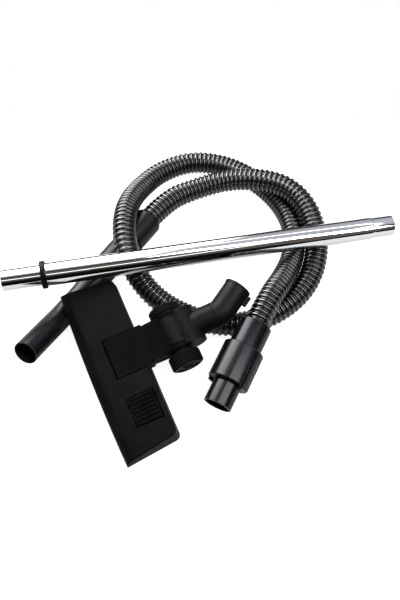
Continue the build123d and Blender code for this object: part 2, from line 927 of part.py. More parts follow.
def lock_button():
    low = lock_floor + lock_travel + passing_gap / 2
    half = lock_length / 2
    wide = lock_width / 2
    button = block((low, low + lock_height), (-wide, wide), (-lock_back - half, half - lock_back))
    button = fillet(button.edges().group_by(Axis.X)[-1], passing_gap)
    return neck_frame * (mouth_local * button)


# Wand: local z runs from the inner tube's tip to the necked end
wand_start = at(*wand_left)
wand_axis = (at(*wand_right) - wand_start).normalized()
wand_frame = level_frame(wand_start, wand_axis)
wand_length = (at(*wand_right) - wand_start).length
outer_start = tip_length + ring_lip + passing_gap + guide_flange
neck_start = wand_length - wand_neck_length
wand_bore = wand_radius - wand_wall
guide_bore = inner_radius + running_gap


def wand_outer_tube():
    neck_bore = wand_neck_radius - wand_wall
    bead_end = neck_start + wand_bead_width
    return wand_frame * turned((
        (wand_bore, outer_start), (wand_radius, outer_start), (wand_radius, neck_start),
        (wand_neck_radius + wand_bead, neck_start + wand_wall), (wand_neck_radius + wand_bead, bead_end),
        (wand_neck_radius, bead_end), (wand_neck_radius, wand_length), (neck_bore, wand_length),
        (neck_bore, neck_start), (wand_bore, neck_start - wand_wall),
    ))


def inner_guide():
    sleeve = tube(wand_bore, guide_bore, outer_start, outer_start + guide_length)
    flange = tube(wand_radius, guide_bore, outer_start - guide_flange, outer_start)
    return wand_frame * (sleeve + flange)


def release_ring():
    bore = wand_radius + running_gap
    lip_bore = inner_radius + passing_gap
    lip_end = tip_length + ring_lip
    end = tip_length + ring_width
    return wand_frame * turned((
        (lip_bore, tip_length), (ring_radius - 0.6, tip_length), (ring_radius, tip_length + 0.6),
        (ring_radius, end - 0.6), (ring_radius - 0.6, end), (bore, end), (bore, lip_end), (lip_bore, lip_end),
    ))


def wand_inner_tube():
    bore = inner_radius - wand_wall
    groove_start = tip_length - 2 * passing_gap
    groove_end = groove_start + tip_groove_width
    groove = inner_radius - tip_groove_depth
    return wand_frame * turned((
        (bore, 0), (inner_radius - tip_round, 0), (inner_radius, tip_round), (inner_radius, groove_start),
        (groove, groove_start), (groove, groove_end), (inner_radius, groove_end),
        (inner_radius, inner_length), (bore, inner_length),
    ))


def inner_stop_ring():
    return wand_frame * tube(wand_bore - running_gap, inner_radius, inner_length - stop_length, inner_length)


nodes = {
    "hose": hose(),
    "handle_tube": handle_tube(),
    "handle_cuff": handle_cuff(),
    "handle_thread_bush": handle_thread_bush(),
    "handle_clip_ring": handle_clip_ring(),
    "machine_cuff": machine_cuff(),
    "machine_thread_bush": machine_thread_bush(),
    "swivel_ring": swivel_ring(),
    "connector_body": connector_body(),
    "connector_spigot": connector_spigot(),
    "spigot_seal": spigot_seal(),
    "latch_lever_left": latch_lever_left(),
    "latch_lever_right": latch_lever_right(),
    "latch_pins": latch_pins(),
    "head_cover": head_cover(),
    "sole_plate": sole_plate(),
    "head_screws": head_screws(),
    "lint_strips": lint_strips(),
    "neck_pin": neck_pin(),
    "pedal_pin": pedal_pin(),
    "brush_carrier": brush_carrier(),
    "front_brush": front_brush(),
    "rear_brush": rear_brush(),
    "pedal": pedal(),
    "neck_arm": neck_arm(),
    "axles": axles(),
    "wheel_left": wheel_body(-1),
    "wheel_right": wheel_body(1),
    "tyre_left": tyre_body(-1),
    "tyre_right": tyre_body(1),
    "neck_knuckle": neck_knuckle(),
    "neck_collar": neck_collar(),
    "swivel_clip": swivel_clip(),
    "wand_socket": wand_socket(),
    "socket_seal": socket_seal(),
    "lock_button": lock_button(),
    "wand_outer_tube": wand_outer_tube(),
    "inner_guide": inner_guide(),
    "release_ring": release_ring(),
    "wand_inner_tube": wand_inner_tube(),
    "inner_stop_ring": inner_stop_ring(),
}

os.makedirs("parts", exist_ok=True)
for name, shape in nodes.items():
    export_step(shape, f"parts/{name}.step")

print("hose length", round(hose_line.length, 1), "rib pitch", round(hose_line.length / hose_ribs, 2))
print("hose bend radii", [round(radius) for radius in hose_radii])
print("least gap of the hose to itself", round(hose_self_gap(), 2))
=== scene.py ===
import bpy
import math
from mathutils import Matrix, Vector


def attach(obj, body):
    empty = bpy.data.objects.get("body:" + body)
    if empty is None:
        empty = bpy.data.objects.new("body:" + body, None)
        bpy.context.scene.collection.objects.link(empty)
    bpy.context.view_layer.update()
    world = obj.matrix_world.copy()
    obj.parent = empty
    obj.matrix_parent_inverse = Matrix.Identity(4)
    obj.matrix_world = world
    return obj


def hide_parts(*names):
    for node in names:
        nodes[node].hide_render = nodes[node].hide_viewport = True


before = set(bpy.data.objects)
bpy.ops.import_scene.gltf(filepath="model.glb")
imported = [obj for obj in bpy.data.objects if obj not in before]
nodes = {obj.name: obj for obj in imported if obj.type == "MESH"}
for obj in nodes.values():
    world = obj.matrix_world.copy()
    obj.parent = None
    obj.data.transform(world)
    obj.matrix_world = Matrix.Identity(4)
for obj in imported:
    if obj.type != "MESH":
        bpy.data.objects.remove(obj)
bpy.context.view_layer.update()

scene = bpy.context.scene

layout = {"middleX": 8.1, "middleY": -53.1}  # the heap's middle, in layout millimetres


def place(x, y, z):
    # layout millimetres to metres in the part's frame
    return Vector(((x - layout["middleX"]) / 1000, (y - layout["middleY"]) / 1000, z / 1000))


# Mesh helpers

def ringPoints(centre, side, up, radius, around):
    points = []
    for step in range(around):
        angle = 2 * math.pi * step / around
        points.append(centre + (side * math.cos(angle) + up * math.sin(angle)) * radius)
    return points


def ringFaces(rings, around, closed=False):
    # quads from each ring to the next, and from the last to the first if closed
    faces = []
    for ring in range(rings if closed else rings - 1):
        here = ring * around
        there = (ring + 1) % rings * around
        for step in range(around):
            beside = (step + 1) % around
            faces.append((here + step, here + beside, there + beside, there + step))
    return faces


def addObject(name, verts, faces):
    mesh = bpy.data.meshes.new(name)
    mesh.from_pydata(verts, [], faces)
    mesh.update()
    added = bpy.data.objects.new(name, mesh)
    scene.collection.objects.link(added)
    return added


# Node helpers

def feed(tree, node, values):
    # numbers and colours are set on the node's inputs, sockets are linked to them
    for label, value in values.items():
        if isinstance(value, (int, float)):
            node.inputs[label].default_value = value
        elif isinstance(value, tuple):
            node.inputs[label].default_value = value + (1,)
        else:
            tree.links.new(value, node.inputs[label])


def addNode(tree, kind, values=None, **settings):
    # settings come first, because they decide which inputs there are
    node = tree.nodes.new("ShaderNode" + kind)
    for setting, value in settings.items():
        setattr(node, setting, value)
    feed(tree, node, values or {})
    return node


def emptyTree(owner):
    owner.use_nodes = True
    owner.node_tree.nodes.clear()
    return owner.node_tree


def mathNode(tree, operation, *values):
    # the values go to the node's inputs in order
    return addNode(tree, "Math", dict(enumerate(values)), operation=operation).outputs[0]


def mapRange(tree, value, source, target=(0, 1)):
    ranger = addNode(tree, "MapRange", {
        "Value": value, "From Min": source[0], "From Max": source[1], "To Min": target[0], "To Max": target[1],
    })
    return ranger.outputs["Result"]


def mixColours(tree, factor, first, second, blend="MIX"):
    values = {"Factor": factor, "A": first, "B": second}
    return addNode(tree, "Mix", values, data_type="RGBA", blend_type=blend).outputs["Result"]


def rayIs(tree, *kinds):
    # 1 on rays of any of these kinds
    path = addNode(tree, "LightPath")
    found = path.outputs["Is " + kinds[0] + " Ray"]
    for kind in kinds[1:]:
        found = mathNode(tree, "MAXIMUM", found, path.outputs["Is " + kind + " Ray"])
    return found


# Camera and stage

shot = {"at": (0, -471, 816), "tilt": 30, "lens": 38.4, "sensor": 36, "near": 0.01, "far": 30}


def makeCamera():
    data = bpy.data.cameras.new("heapCamera")
    data.lens = shot["lens"]
    data.sensor_width = shot["sensor"]
    data.sensor_fit = "AUTO"
    data.clip_start = shot["near"]
    data.clip_end = shot["far"]
    camera = bpy.data.objects.new("heapCamera", data)
    camera.location = place(*shot["at"])
    camera.rotation_euler = (math.radians(shot["tilt"]), 0, 0)
    scene.collection.objects.link(camera)
    scene.camera = camera


worldLook = {"tint": (0.94, 0.96, 1.0), "fill": 0.22, "white": (1, 1, 1), "seen": 1.0}


def makeWorld():
    # a dim fill that camera, glossy and transmission rays see as white
    world = bpy.data.worlds.new("studioWorld")
    tree = emptyTree(world)
    dim = addNode(tree, "Background", {"Color": worldLook["tint"], "Strength": worldLook["fill"]})
    seen = addNode(tree, "Background", {"Color": worldLook["white"], "Strength": worldLook["seen"]})
    rays = rayIs(tree, "Camera", "Glossy", "Transmission")
    mix = addNode(tree, "MixShader", {0: rays, 1: dim.outputs[0], 2: seen.outputs[0]})
    addNode(tree, "OutputWorld", {"Surface": mix.outputs[0]})
    scene.world = world


floorLook = {"half": 0.75, "back": 0.40, "drop": 0.0002, "white": (0.82, 0.82, 0.82), "glow": 0.89, "mirrored": 0.12}


def makeFloor():
    # matte, with a glow for the camera and a weaker one in reflections
    half = floorLook["half"]
    back = floorLook["back"]
    corners = [(-half, -half, 0), (half, -half, 0), (half, back, 0), (-half, back, 0)]
    floor = addObject("paleFloor", corners, [(0, 1, 2, 3)])
    floor.location.z = -floorLook["drop"]
    material = bpy.data.materials.new("floorWhite")
    tree = emptyTree(material)
    matte = addNode(tree, "BsdfDiffuse", {"Color": floorLook["white"]})
    direct = mathNode(tree, "MULTIPLY", rayIs(tree, "Camera"), floorLook["glow"])
    mirrored = mathNode(tree, "MULTIPLY", rayIs(tree, "Glossy", "Transmission"), floorLook["mirrored"])
    glow = addNode(tree, "Emission", {"Strength": mathNode(tree, "MAXIMUM", direct, mirrored)})
    add = addNode(tree, "AddShader", {0: matte.outputs[0], 1: glow.outputs[0]})
    addNode(tree, "OutputMaterial", {"Surface": add.outputs[0]})
    floor.data.materials.append(material)


lampAim = (20, -20, 40)
lamps = {
    "leftStrip": {"from": (-0.56, 0.52, 0.66), "far": 1.6, "size": (0.50, 1.3), "power": 15},
    "rightStrip": {"from": (0.46, -0.22, 0.86), "far": 1.6, "size": (0.40, 1.7), "power": 18},
}


def makeLamps():
    for name, look in lamps.items():
        data = bpy.data.lights.new(name, "AREA")
        data.shape = "RECTANGLE"
        data.size, data.size_y = look["size"]
        data.energy = look["power"]
        lamp = bpy.data.objects.new(name, data)
        away = Vector(look["from"]).normalized()
        lamp.location = place(*lampAim) + away * look["far"]
        lamp.rotation_euler = away.to_track_quat("Z", "Y").to_euler()
        scene.collection.objects.link(lamp)


# angles in degrees; the room's colours run from front to back, and it is dimmed below the skirt; the room, window,
# upper and ring patches are painted reflections and highlights that glow only in reflections
domeLook = {
    "radius": 3.5, "around": 32, "rows": 16, "lowest": -30, "sweep": 120,
    "room": ((0.0, (0.004, 0.004, 0.004)), (0.09, (0.01, 0.009, 0.008)), (0.12, (0.12, 0.105, 0.09)),
             (0.35, (0.14, 0.125, 0.11)), (0.38, (0.02, 0.02, 0.02)), (0.44, (0.02, 0.02, 0.02)),
             (0.48, (0.42, 0.43, 0.46)), (0.75, (0.62, 0.64, 0.68)), (1.0, (0.4, 0.41, 0.43))),
    "window": {"turn": (92, 152), "turnSoft": 5, "rise": (13, 46), "riseSoft": 4, "glow": 6.0},
    "upper": {"turn": (96, 160), "turnSoft": 8, "rise": (46, 84), "riseSoft": 4, "glow": 1.1},
    "ring": {"rise": (51, 54), "riseSoft": 1, "glow": 2.5},
    "skirt": {"rise": 12.0, "softRadians": 0.03, "dim": 0.06},
}


def band(tree, angle, span, soft):
    # 1 between two angles, easing to 0 over the soft width
    low, high = (math.radians(edge) for edge in span)
    ease = math.radians(soft)
    lower = mapRange(tree, angle, (low - ease, low))
    upper = mapRange(tree, angle, (high, high + ease), (1, 0))
    return mathNode(tree, "MULTIPLY", lower, upper)


def glowPatch(tree, turn, rise, look):
    patch = band(tree, rise, look["rise"], look["riseSoft"])
    if "turn" in look:
        patch = mathNode(tree, "MULTIPLY", band(tree, turn, look["turn"], look["turnSoft"]), patch)
    return mathNode(tree, "MULTIPLY", patch, look["glow"])


def paintedReflectionRoom():
    material = bpy.data.materials.new("paintedReflectionRoom")
    tree = emptyTree(material)
    radius = domeLook["radius"]
    split = addNode(tree, "SeparateXYZ", {"Vector": addNode(tree, "TexCoord").outputs["Object"]}).outputs
    ramp = addNode(tree, "ValToRGB", {"Fac": mapRange(tree, split["Y"], (-radius, radius))})
    stops = ramp.color_ramp.elements
    for stop, (at, colour) in zip(stops, (domeLook["room"][0], domeLook["room"][-1])):
        stop.position = at
        stop.color = colour + (1,)
    for at, colour in domeLook["room"][1:-1]:
        stops.new(at).color = colour + (1,)
    turn = mathNode(tree, "ARCTAN2", split["Y"], split["X"])
    rise = mathNode(tree, "ARCSINE", mathNode(tree, "DIVIDE", split["Z"], radius))
    # painted highlights: bright patches that show only in reflections, on the hose and the chrome
    paintedGlints = glowPatch(tree, turn, rise, domeLook["window"])
    for patch in ("ring", "upper"):
        paintedGlints = mathNode(tree, "MAXIMUM", paintedGlints, glowPatch(tree, turn, rise, domeLook[patch]))
    skirt = domeLook["skirt"]
    edge = math.radians(skirt["rise"])
    strength = mapRange(tree, rise, (edge - skirt["softRadians"], edge), (skirt["dim"], 1.0))
    colour = mixColours(tree, 1.0, ramp.outputs["Color"], paintedGlints, "ADD")
    glow = addNode(tree, "Emission", {"Color": colour, "Strength": strength})
    addNode(tree, "OutputMaterial", {"Surface": glow.outputs[0]})
    return material


def makeDome():
    # painted reflections: the dim room above the table with bright glowing patches, seen only in reflections and
    # lighting nothing
    radius = domeLook["radius"]
    around = domeLook["around"]
    rows = domeLook["rows"]
    verts = []
    for row in range(rows + 1):
        rise = math.radians(domeLook["lowest"] + domeLook["sweep"] * row / rows)
        centre = Vector((0, 0, radius * math.sin(rise)))
        verts += ringPoints(centre, Vector((1, 0, 0)), Vector((0, 1, 0)), radius * math.cos(rise), around)
    inward = [tuple(reversed(face)) for face in ringFaces(rows + 1, around)]
    dome = addObject("roomDome", verts, inward)
    dome.visible_camera = False
    dome.visible_diffuse = False
    dome.visible_shadow = False
    dome.visible_transmission = False
    dome.data.materials.append(paintedReflectionRoom())


makeCamera()
makeWorld()
makeFloor()
makeLamps()
makeDome()
scene.view_settings.view_transform = "Standard"
print("camera, floor and lamps placed")


# Shared effects as node groups

def socketKind(label):
    return "NodeSocketColor" if "Colour" in label else "NodeSocketFloat"


def newGroup(name, inputs, outputs):
    group = bpy.data.node_groups.new(name, "ShaderNodeTree")
    for label, value in inputs.items():
        socket = group.interface.new_socket(label, in_out="INPUT", socket_type=socketKind(label))
        socket.default_value = value
    for label in outputs:
        group.interface.new_socket(label, in_out="OUTPUT", socket_type=socketKind(label))
    return group, group.nodes.new("NodeGroupInput").outputs, group.nodes.new("NodeGroupOutput")


def noise(tree, vector, scale, detail, rough):
    values = {"Vector": vector, "Scale": scale, "Detail": detail, "Roughness": rough}
    return addNode(tree, "TexNoise", values).outputs["Fac"]


grainLook = {"grainDetail": 2, "grainRough": 0.6, "cloudScale": 38, "cloudDetail": 4, "cloudRough": 0.55,
             "paleSpan": (0.35, 0.75), "roughSpan": (0.3, 0.7)}


def makeMouldGrain():
    # fine pitted skin of moulded plastic: tint, roughness and height
    group, entry, leave = newGroup("mouldGrain", {
        "Colour": (0.02, 0.02, 0.02, 1), "Pale Colour": (0.05, 0.05, 0.05, 1), "Grain Scale": 1400.0,
        "Smooth": 0.35, "Rough": 0.55,
    }, ("Colour", "Roughness", "Height"))
    at = addNode(group, "TexCoord").outputs["Object"]
    cloud = noise(group, at, grainLook["cloudScale"], grainLook["cloudDetail"], grainLook["cloudRough"])
    paleness = mapRange(group, cloud, grainLook["paleSpan"])
    feed(group, leave, {
        "Colour": mixColours(group, paleness, entry["Colour"], entry["Pale Colour"]),
        "Roughness": mapRange(group, cloud, grainLook["roughSpan"], (entry["Smooth"], entry["Rough"])),
        "Height": noise(group, at, entry["Grain Scale"], grainLook["grainDetail"], grainLook["grainRough"]),
    })
    return group


marksLook = {"smearDetail": 5, "smearRough": 0.6, "roughSpan": (0.35, 0.75), "maskSpan": (0.5, 0.8),
             "stretch": (60, 900, 900), "hairScale": 1.0, "hairDetail": 2, "hairRough": 0.5, "hairSpan": (0.4, 0.7)}


def makeHandlingMarks():
    # faint smears and hairline scuffs on glossy faces
    group, entry, leave = newGroup("handlingMarks", {"Smooth": 0.16, "Rough": 0.3, "Smear Scale": 30.0},
                                   ("Roughness", "Mask", "Height"))
    at = addNode(group, "TexCoord").outputs["Object"]
    smear = noise(group, at, entry["Smear Scale"], marksLook["smearDetail"], marksLook["smearRough"])
    stretch = addNode(group, "Mapping", {"Vector": at})
    stretch.inputs["Scale"].default_value = marksLook["stretch"]
    hair = noise(group, stretch.outputs["Vector"], marksLook["hairScale"], marksLook["hairDetail"],
                 marksLook["hairRough"])
    feed(group, leave, {
        "Roughness": mapRange(group, smear, marksLook["roughSpan"], (entry["Smooth"], entry["Rough"])),
        "Mask": mapRange(group, smear, marksLook["maskSpan"]),
        "Height": mapRange(group, hair, marksLook["hairSpan"]),
    })
    return group


mouldGrain = makeMouldGrain()
handlingMarks = makeHandlingMarks()


# Finishes

bumpLook = {"grainDepth": 0.0003, "marksDepth": 0.00005, "metalDepth": 0.00003, "edgeSamples": 6}


def newMaterial(name):
    material = bpy.data.materials.new(name)
    material.use_nodes = True
    return material, material.node_tree, material.node_tree.nodes["Principled BSDF"]


def addBump(tree, shader, height, depth, look):
    values = {"Height": height, "Strength": look["bump"], "Distance": depth}
    if "edge" in look:
        soft = addNode(tree, "Bevel", {"Radius": look["edge"]}, samples=bumpLook["edgeSamples"])
        values["Normal"] = soft.outputs["Normal"]
    feed(tree, shader, {"Normal": addNode(tree, "Bump", values).outputs["Normal"]})


def addMarks(tree, look):
    values = {"Smooth": look["smooth"], "Rough": look["rough"], "Smear Scale": look["smear"]}
    return addNode(tree, "Group", values, node_tree=handlingMarks).outputs


def grainPlastic(name, look):
    material, tree, shader = newMaterial(name)
    values = {"Colour": look["colour"], "Pale Colour": look["pale"], "Grain Scale": look["grain"],
              "Smooth": look["smooth"], "Rough": look["rough"]}
    grain = addNode(tree, "Group", values, node_tree=mouldGrain).outputs
    feed(tree, shader, {"Base Color": grain["Colour"], "Roughness": grain["Roughness"],
                        "Specular IOR Level": look["gloss"]})
    addBump(tree, shader, grain["Height"], bumpLook["grainDepth"], look)
    return material


def glossPlastic(name, look):
    material, tree, shader = newMaterial(name)
    marks = addMarks(tree, look)
    feed(tree, shader, {"Base Color": mixColours(tree, marks["Mask"], look["colour"], look["pale"]),
                        "Roughness": marks["Roughness"], "Specular IOR Level": look["gloss"]})
    addBump(tree, shader, marks["Height"], bumpLook["marksDepth"], look)
    return material


def ribVinyl(name, look):
    # glossy crests with rough grooves between them; the grooves are painted darker and given almost no specular, as
    # painted shade
    material, tree, shader = newMaterial(name)
    marks = addMarks(tree, look)
    crest = addNode(tree, "Attribute", attribute_name="crest").outputs["Fac"]
    high = mapRange(tree, crest, look["crestSpan"])
    feed(tree, shader, {
        # the groove colour and the low groove gloss are painted shade in the hose's grooves
        "Base Color": mixColours(tree, high, look["groove"], look["colour"]),
        "Roughness": mapRange(tree, high, (0, 1), (look["dull"], marks["Roughness"])),
        "Specular IOR Level": mapRange(tree, high, (0, 1), (look["grooveShadeGloss"], look["gloss"])),
        "Coat Weight": look["coat"], "Coat Roughness": look["smooth"],
    })
    addBump(tree, shader, marks["Height"], bumpLook["marksDepth"], look)
    return material


def metal(name, look):
    material, tree, shader = newMaterial(name)
    marks = addMarks(tree, look)
    feed(tree, shader, {"Base Color": mixColours(tree, marks["Mask"], look["colour"], look["pale"]),
                        "Roughness": marks["Roughness"], "Metallic": 1.0})
    addBump(tree, shader, marks["Height"], bumpLook["metalDepth"], look)
    return material


finishLooks = {
    # groove colour and groove gloss: painted shade in the hose's grooves
    "hoseVinyl": {
        "make": ribVinyl, "colour": (0.008, 0.008, 0.010), "groove": (0.002, 0.002, 0.002), "crestSpan": (0.55, 0.95),
        "smooth": 0.12, "rough": 0.20, "dull": 0.8, "smear": 60, "gloss": 1.0, "grooveShadeGloss": 0.02, "coat": 0.8,
        "bump": 0.1, "pieces": ("hose",),
    },
    "handleGloss": {
        "make": glossPlastic, "colour": (0.005, 0.005, 0.007), "pale": (0.009, 0.009, 0.011),
        "smooth": 0.26, "rough": 0.38, "smear": 26, "gloss": 0.28, "bump": 0.15, "edge": 0.0007,
        "pieces": ("handle_tube", "handle_cuff"),
    },
    "connectorGloss": {
        "make": glossPlastic, "colour": (0.006, 0.006, 0.009), "pale": (0.012, 0.012, 0.016),
        "smooth": 0.15, "rough": 0.21, "smear": 30, "gloss": 0.22, "bump": 0.1, "edge": 0.0009,
        "pieces": ("machine_cuff", "connector_body", "connector_spigot", "latch_lever_left", "latch_lever_right"),
    },
    "headSatin": {
        "make": grainPlastic, "colour": (0.003, 0.003, 0.004), "pale": (0.007, 0.007, 0.008), "grain": 1500,
        "smooth": 0.42, "rough": 0.55, "gloss": 0.07, "bump": 0.25, "edge": 0.0012, "pieces": ("head_cover",),
    },
    "armSatin": {
        "make": grainPlastic, "colour": (0.002, 0.002, 0.002), "pale": (0.005, 0.005, 0.006), "grain": 1700,
        "smooth": 0.42, "rough": 0.55, "gloss": 0.04, "bump": 0.25, "edge": 0.0009, "pieces": ("neck_arm", "pedal"),
    },
    "neckSatin": {
        "make": grainPlastic, "colour": (0.003, 0.003, 0.004), "pale": (0.007, 0.007, 0.009), "grain": 1900,
        "smooth": 0.34, "rough": 0.48, "gloss": 0.11, "bump": 0.2, "edge": 0.0009,
        "pieces": ("neck_knuckle", "neck_collar", "wand_socket", "lock_button", "release_ring"),
    },
    "soleTexture": {
        "make": grainPlastic, "colour": (0.008, 0.008, 0.009), "pale": (0.016, 0.016, 0.017), "grain": 900,
        "smooth": 0.5, "rough": 0.7, "gloss": 0.12, "bump": 0.4, "pieces": ("sole_plate",),
    },
    "bearingPlastic": {
        "make": grainPlastic, "colour": (0.03, 0.03, 0.032), "pale": (0.05, 0.05, 0.052), "grain": 2500,
        "smooth": 0.35, "rough": 0.5, "gloss": 0.4, "bump": 0.1,
        "pieces": ("handle_thread_bush", "machine_thread_bush", "swivel_ring", "brush_carrier", "swivel_clip",
                   "inner_guide", "inner_stop_ring"),
    },
    "softRubber": {
        "make": grainPlastic, "colour": (0.012, 0.012, 0.012), "pale": (0.025, 0.025, 0.025), "grain": 1200,
        "smooth": 0.65, "rough": 0.85, "gloss": 0.25, "bump": 0.35, "pieces": ("spigot_seal", "socket_seal"),
    },
    "tyreRubber": {
        "make": grainPlastic, "colour": (0.003, 0.003, 0.003), "pale": (0.008, 0.008, 0.008), "grain": 1200,
        "smooth": 0.65, "rough": 0.85, "gloss": 0.06, "bump": 0.35, "pieces": ("tyre_left", "tyre_right"),
    },
    "wheelSatin": {
        "make": grainPlastic, "colour": (0.014, 0.014, 0.016), "pale": (0.028, 0.028, 0.031), "grain": 1600,
        "smooth": 0.4, "rough": 0.55, "gloss": 0.2, "bump": 0.2, "edge": 0.0009,
        "pieces": ("wheel_left", "wheel_right"),
    },
    "bristle": {
        "make": grainPlastic, "colour": (0.014, 0.014, 0.015), "pale": (0.05, 0.05, 0.052), "grain": 3200,
        "smooth": 0.6, "rough": 0.9, "gloss": 0.3, "bump": 0.9, "pieces": ("front_brush", "rear_brush"),
    },
    "lintPile": {
        "make": grainPlastic, "colour": (0.25, 0.02, 0.02), "pale": (0.38, 0.05, 0.05), "grain": 4000,
        "smooth": 0.8, "rough": 0.95, "gloss": 0.2, "bump": 0.9, "pieces": ("lint_strips",),
    },
    "wandChrome": {
        "make": metal, "colour": (0.82, 0.83, 0.85), "pale": (0.76, 0.77, 0.79),
        "smooth": 0.05, "rough": 0.08, "smear": 18, "bump": 0.0, "pieces": ("wand_outer_tube", "wand_inner_tube"),
    },
    "pinSteel": {
        "make": metal, "colour": (0.5, 0.5, 0.52), "pale": (0.4, 0.4, 0.42),
        "smooth": 0.25, "rough": 0.4, "smear": 60, "bump": 0.2,
        "pieces": ("handle_clip_ring", "latch_pins", "head_screws"),
    },
    "blackSteel": {
        "make": grainPlastic, "colour": (0.004, 0.004, 0.005), "pale": (0.008, 0.008, 0.009), "grain": 2200,
        "smooth": 0.5, "rough": 0.65, "gloss": 0.1, "bump": 0.1, "pieces": ("neck_pin", "pedal_pin", "axles"),
    },
}
finishes = {name: look["make"](name, look) for name, look in finishLooks.items()}


def dress(piece, finish):
    piece.data.materials.clear()
    piece.data.materials.append(finishes[finish])


def fit(piece, body, finish, replaced=None):
    dress(piece, finish)
    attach(piece, body)
    if replaced:
        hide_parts(replaced)


for finish, look in finishLooks.items():
    for name in look["pieces"]:
        dress(nodes[name], finish)
print("finishes given to", sum(len(look["pieces"]) for look in finishLooks.values()), "pieces")


# Hose: a ribbed tube along one smooth line

# the profile runs over one rib, from root (0) to crest (1)
hoseLook = {
    "radius": 17.1, "root": 15.2, "pitch": 7.26, "around": 40, "fineness": 24, "cuffLip": 12.0,
    "profile": ((0.00, 0.0), (0.14, 0.0), (0.25, 0.55), (0.34, 0.90), (0.43, 1.0), (0.53, 1.0), (0.62, 0.90),
                (0.71, 0.55), (0.82, 0.0)),
    "route": (
        (-86, 120, 22.7), (-53, 167, 24.1), (-6, 192, 22), (44, 198, 37), (91, 186.5, 52),
        (132, 171.5, 54), (162, 141, 45.5), (176.2, 95, 30.4), (171, 46.5, 21.5), (148, 2.5, 17.1),
        (105, -34, 17.1), (52, -52, 17.1), (-4, -43, 17.1), (-54, -18, 20), (-90, 14, 39.2),
        (-108, 57, 59), (-112, 103, 62), (-107, 149, 46), (-93, 193, 25), (-64, 232, 17.1),
        (-16, 254, 17.1), (38, 247, 17.1), (86, 217, 17.1), (124, 175, 17.1), (145, 123, 17.1),
        (141.2, 68, 18), (121, 17, 36.5), (95.5, -27.5, 57), (71.2, -76.9, 50),
    ),
}


def smoothLine(name, points, fineness):
    # points read along a spline drawn from the route's control points
    data = bpy.data.curves.new(name, "CURVE")
    data.dimensions = "3D"
    data.resolution_u = fineness
    spline = data.splines.new("NURBS")
    spline.points.add(len(points) - 1)
    for point, at in zip(spline.points, points):
        point.co = (at.x, at.y, at.z, 1)
    spline.order_u = 3
    spline.use_endpoint_u = True
    holder = bpy.data.objects.new(name, data)
    scene.collection.objects.link(holder)
    bpy.context.view_layer.update()
    mesh = bpy.data.meshes.new_from_object(holder)
    line = [vertex.co.copy() for vertex in mesh.vertices]
    bpy.data.objects.remove(holder)
    bpy.data.curves.remove(data)
    bpy.data.meshes.remove(mesh)
    return line


def alongLine(line):
    # running length at each point
    reach = [0.0]
    for before, after in zip(line, line[1:]):
        reach.append(reach[-1] + (after - before).length)
    return reach


def carriedFrames(line):
    # a side and an up vector at each point, carried along without twist
    last = len(line) - 1
    tangents = [(line[min(i + 1, last)] - line[max(i - 1, 0)]).normalized() for i in range(len(line))]
    side = tangents[0].cross(Vector((0, 0, 1))).normalized()
    frames = []
    for tangent in tangents:
        side = (side - tangent * side.dot(tangent)).normalized()
        frames.append((side, tangent.cross(side)))
    return frames


def pointAt(line, reach, frames, distance, start):
    # centre, side and up at a distance along the line, looked for from a start index
    i = start
    while i < len(reach) - 2 and reach[i + 1] < distance:
        i += 1
    share = (distance - reach[i]) / (reach[i + 1] - reach[i])
    share = min(max(share, 0.0), 1.0)
    centre = line[i].lerp(line[i + 1], share)
    side, up = (before.lerp(after, share).normalized() for before, after in zip(frames[i], frames[i + 1]))
    return centre, side, up, i


def makeHose():
    line = smoothLine("hoseLine", [place(*point) for point in hoseLook["route"]], hoseLook["fineness"])
    reach = alongLine(line)
    frames = carriedFrames(line)
    ribs = round(reach[-1] / (hoseLook["pitch"] / 1000))
    around = hoseLook["around"]
    stations = [((rib + share) / ribs, crest) for rib in range(ribs) for share, crest in hoseLook["profile"]]
    stations.append((1.0, 0.0))
    verts = []
    start = 0
    for share, crest in stations:
        centre, side, up, start = pointAt(line, reach, frames, share * reach[-1], start)
        radius = (hoseLook["root"] + (hoseLook["radius"] - hoseLook["root"]) * crest) / 1000
        verts += ringPoints(centre, side, up, radius, around)
    faces = ringFaces(len(stations), around)
    faces.append(tuple(reversed(range(around))))
    faces.append(tuple(range(len(verts) - around, len(verts))))
    hose = addObject("ribbedHose", verts, faces)
    hose.data.shade_smooth()
    crests = hose.data.attributes.new("crest", "FLOAT", "POINT")
    crests.data.foreach_set("value", [crest for share, crest in stations for step in range(around)])
    fit(hose, "hose_set", "hoseVinyl", "hose")
    print("hose:", ribs, "ribs,", len(verts), "points, length", round(reach[-1], 3))


makeHose()


# Turned pieces: an outline of radius and length spun about a line

def spin(name, start, end, outline, look, body, finish, replaced):
    axis = (end - start).normalized()
    side = Vector((0, 0, 1)).cross(axis).normalized()
    rise = axis.cross(side)
    verts = []
    for radius, length in outline:
        verts += ringPoints(start + axis * (length / 1000), side, rise, radius / 1000, look["around"])
    piece = addObject(name, verts, ringFaces(len(outline), look["around"], closed=True))
    piece.data.shade_smooth()
    piece.data.set_sharp_from_angle(angle=math.radians(look["sharp"]))
    fit(piece, body, finish, replaced)


cornerLook = {"steps": 3, "most": 0.45}  # most of a side that one corner takes


def eased(outline, radius):
    # the outline with each corner rounded by up to the radius
    steps = cornerLook["steps"]
    soft = []
    for i, middle in enumerate(outline):
        corner = Vector(middle)
        ends = []
        for beside in (outline[i - 1], outline[(i + 1) % len(outline)]):
            side = Vector(beside) - corner
            ends.append(corner + side.normalized() * min(radius, side.length * cornerLook["most"]))
        for step in range(steps + 1):
            t = step / steps
            soft.append(tuple(ends[0] * (1 - t) ** 2 + corner * 2 * t * (1 - t) + ends[1] * t ** 2))
    return soft


